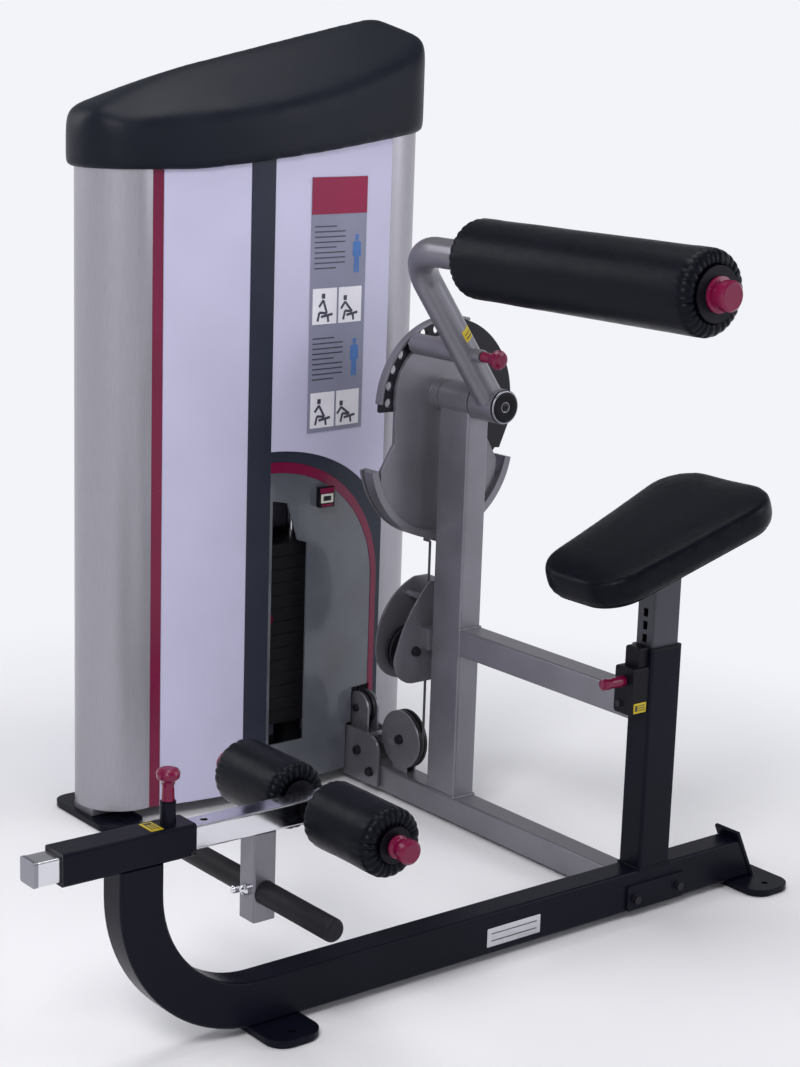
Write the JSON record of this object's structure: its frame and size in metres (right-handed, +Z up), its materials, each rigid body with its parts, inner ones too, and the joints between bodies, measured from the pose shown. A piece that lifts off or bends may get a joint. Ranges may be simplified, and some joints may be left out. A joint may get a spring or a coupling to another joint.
{
  "type": "ab crunch machine",
  "caption": "Seated ab crunch machine with a weight tower, a pivoting press arm with a chest roller, a height-adjustable seat and a sliding foot-roller set.",
  "frame": {"origin": "on the floor under the centre of the machine's overall box", "axes": "+X along the floor rail towards the user's back, +Y from the seat towards the weight tower, +Z up"},
  "size_m": [1.447, 1.3114, 1.462],
  "materials": {
    "black_frame": "satin powder coat",
    "gray_frame": "metallic powder coat",
    "post_gray": "satin powder coat",
    "silver_column": "brushed, satin",
    "pale_panel": "satin sheet steel",
    "slate_plastic": "matt",
    "smoked_plastic": "smoked, glossy",
    "crimson_plastic": "glossy",
    "cap_plastic": "satin, fine grain",
    "black_plastic": "matt",
    "black_rubber": "matt",
    "black_vinyl": "smooth upholstery vinyl",
    "chrome": "polished",
    "zinc_steel": "zinc plated",
    "black_steel": "black coated",
    "plate_iron": "painted black",
    "cable_coat": "nylon-coated wire rope",
    "pulley_nylon": "moulded nylon"
  },
  "bodies": {
    "frame": {"main_rail": "black_frame", "floor_feet": "black_frame", "foot_rubbers": "black_rubber", "foot_sleeve": "black_frame", "bushings": "black_plastic", "seat_upright": "black_frame", "height_housing": "black_plastic", "lower_beam": "gray_frame", "mast": "gray_frame", "cross_brace": "gray_frame", "tower_bracket": "gray_frame", "fairlead_guard": "gray_frame", "pulley_guards": "gray_frame", "frame_bolts": "black_steel", "drive_cable": "cable_coat", "cam_cable": "cable_coat", "tower_frame": "gray_frame", "side_columns": "silver_column", "front_panels": "pale_panel", "slate_trims": "slate_plastic", "crimson_trims": "crimson_plastic", "arch_shield": "smoked_plastic", "rep_counter": "black_plastic", "back_panel": "pale_panel", "tower_cap": "cap_plastic", "guide_rods": "chrome", "stack_cushions": "black_rubber", "resting_plates": "plate_iron"},
    "cam": {"pivot_shaft": "zinc_steel", "cam_plate": "gray_frame", "index_disc": "black_steel"},
    "press_arm": {"arm_tube": "gray_frame", "roller_knob": "crimson_plastic"},
    "arm_pin": {"arm_plunger": "crimson_plastic"},
    "chest": {"roller_core": "black_plastic", "chest_roller": "black_vinyl"},
    "foot_slide": {"slide_tube": "chrome", "slide_end_cap": "zinc_steel", "slide_fittings": "chrome", "foot_knobs": "crimson_plastic", "drop_tube": "gray_frame", "foot_bar": "black_rubber"},
    "foot_pin": {"foot_plunger": "crimson_plastic"},
    "near_roller": {"foot_core_near": "black_plastic", "foot_roller_near": "black_vinyl"},
    "far_roller": {"foot_core_far": "black_plastic", "foot_roller_far": "black_vinyl"},
    "seat": {"seat_post": "post_gray", "seat_pad": "black_vinyl"},
    "seat_pin": {"seat_lever": "crimson_plastic"},
    "stack": {"lifted_plates": "plate_iron", "selector_stem": "chrome", "stack_cable": "cable_coat"},
    "stack_pin": {"selector_pin": "crimson_plastic"},
    "left_fairlead": {"fairlead_left": "pulley_nylon"},
    "right_fairlead": {"fairlead_right": "pulley_nylon"},
    "beam_pulley": {"lower_pulley": "pulley_nylon"},
    "base_pulley": {"tower_pulley": "pulley_nylon"},
    "head_pulley_a": {"head_pulley_1": "pulley_nylon"},
    "head_pulley_b": {"head_pulley_2": "pulley_nylon"}
  },
  "joints": [
    {"name": "cam_turn", "type": "hinge", "parent": "frame", "child": "cam", "pos_m": [0.4435, 0.22175, 0.797], "axis": [0, -1, 0], "range_deg": [0, 60]},
    {"name": "arm_adjust", "type": "hinge", "parent": "cam", "child": "press_arm", "pos_m": [0.4435, 0.08175, 0.797], "axis": [0, -1, 0], "range_deg": [-30, 15]},
    {"name": "arm_pin_pull", "type": "slide", "parent": "press_arm", "child": "arm_pin", "axis": [0, -1, 0], "range_m": [0, 0.012], "stiffness_N_per_m": 800, "springref_m": -0.01},
    {"name": "chest_roller_spin", "type": "hinge", "parent": "press_arm", "child": "chest", "pos_m": [0.2435, -0.35325, 1.079], "axis": [0, 1, 0], "continuous": true},
    {"name": "weight_lift", "type": "slide", "parent": "frame", "child": "stack", "axis": [0, 0, 1], "range_m": [0, 0.2], "deforming": ["stack_cable"]},
    {"name": "selector_pull", "type": "slide", "parent": "stack", "child": "stack_pin", "axis": [0, -1, 0], "range_m": [0, 0.07]},
    {"name": "seat_height", "type": "slide", "parent": "frame", "child": "seat", "axis": [0, 0, 1], "range_m": [-0.05, 0.1]},
    {"name": "seat_pin_pull", "type": "slide", "parent": "frame", "child": "seat_pin", "axis": [-1, 0, 0], "range_m": [0, 0.012], "stiffness_N_per_m": 800, "springref_m": -0.01},
    {"name": "foot_reach", "type": "slide", "parent": "frame", "child": "foot_slide", "axis": [1, 0, 0], "range_m": [-0.09, 0.03]},
    {"name": "foot_pin_pull", "type": "slide", "parent": "frame", "child": "foot_pin", "axis": [0, 0, 1], "range_m": [0, 0.012], "stiffness_N_per_m": 800, "springref_m": -0.01},
    {"name": "near_roller_spin", "type": "hinge", "parent": "foot_slide", "child": "near_roller", "pos_m": [-0.2525, -0.46725, 0.3235], "axis": [0, 1, 0], "continuous": true},
    {"name": "far_roller_spin", "type": "hinge", "parent": "foot_slide", "child": "far_roller", "pos_m": [-0.2525, -0.23925, 0.3235], "axis": [0, 1, 0], "continuous": true},
    {"name": "left_fairlead_spin", "type": "hinge", "parent": "frame", "child": "left_fairlead", "pos_m": [0.3975, 0.24175, 0.318], "axis": [0, 1, 0], "continuous": true},
    {"name": "right_fairlead_spin", "type": "hinge", "parent": "frame", "child": "right_fairlead", "pos_m": [0.4895, 0.24175, 0.318], "axis": [0, 1, 0], "continuous": true},
    {"name": "beam_pulley_spin", "type": "hinge", "parent": "frame", "child": "beam_pulley", "pos_m": [0.4435, 0.29375, 0.12], "axis": [-1, 0, 0], "range_deg": [0, 221]},
    {"name": "base_pulley_spin", "type": "hinge", "parent": "frame", "child": "base_pulley", "pos_m": [0.4435, 0.43075, 0.147], "axis": [-1, 0, 0], "range_deg": [0, 410]},
    {"name": "head_pulley_a_spin", "type": "hinge", "parent": "frame", "child": "head_pulley_a", "pos_m": [0.39428, 0.47554, 1.12], "axis": [0.3229, 0.9464, 0], "range_deg": [0, 221]},
    {"name": "head_pulley_b_spin", "type": "hinge", "parent": "frame", "child": "head_pulley_b", "pos_m": [0.27871, 0.51496, 1.12], "axis": [0.3229, 0.9464, 0], "range_deg": [0, 221]}
  ],
  "couplings": [
    {"joint": "weight_lift", "follows": "cam_turn", "m_per_rad": 0.19},
    {"joint": "beam_pulley_spin", "follows": "cam_turn", "ratio": 3.6538},
    {"joint": "base_pulley_spin", "follows": "cam_turn", "ratio": 6.7857},
    {"joint": "head_pulley_a_spin", "follows": "cam_turn", "ratio": 3.6538},
    {"joint": "head_pulley_b_spin", "follows": "cam_turn", "ratio": 3.6538}
  ]
}
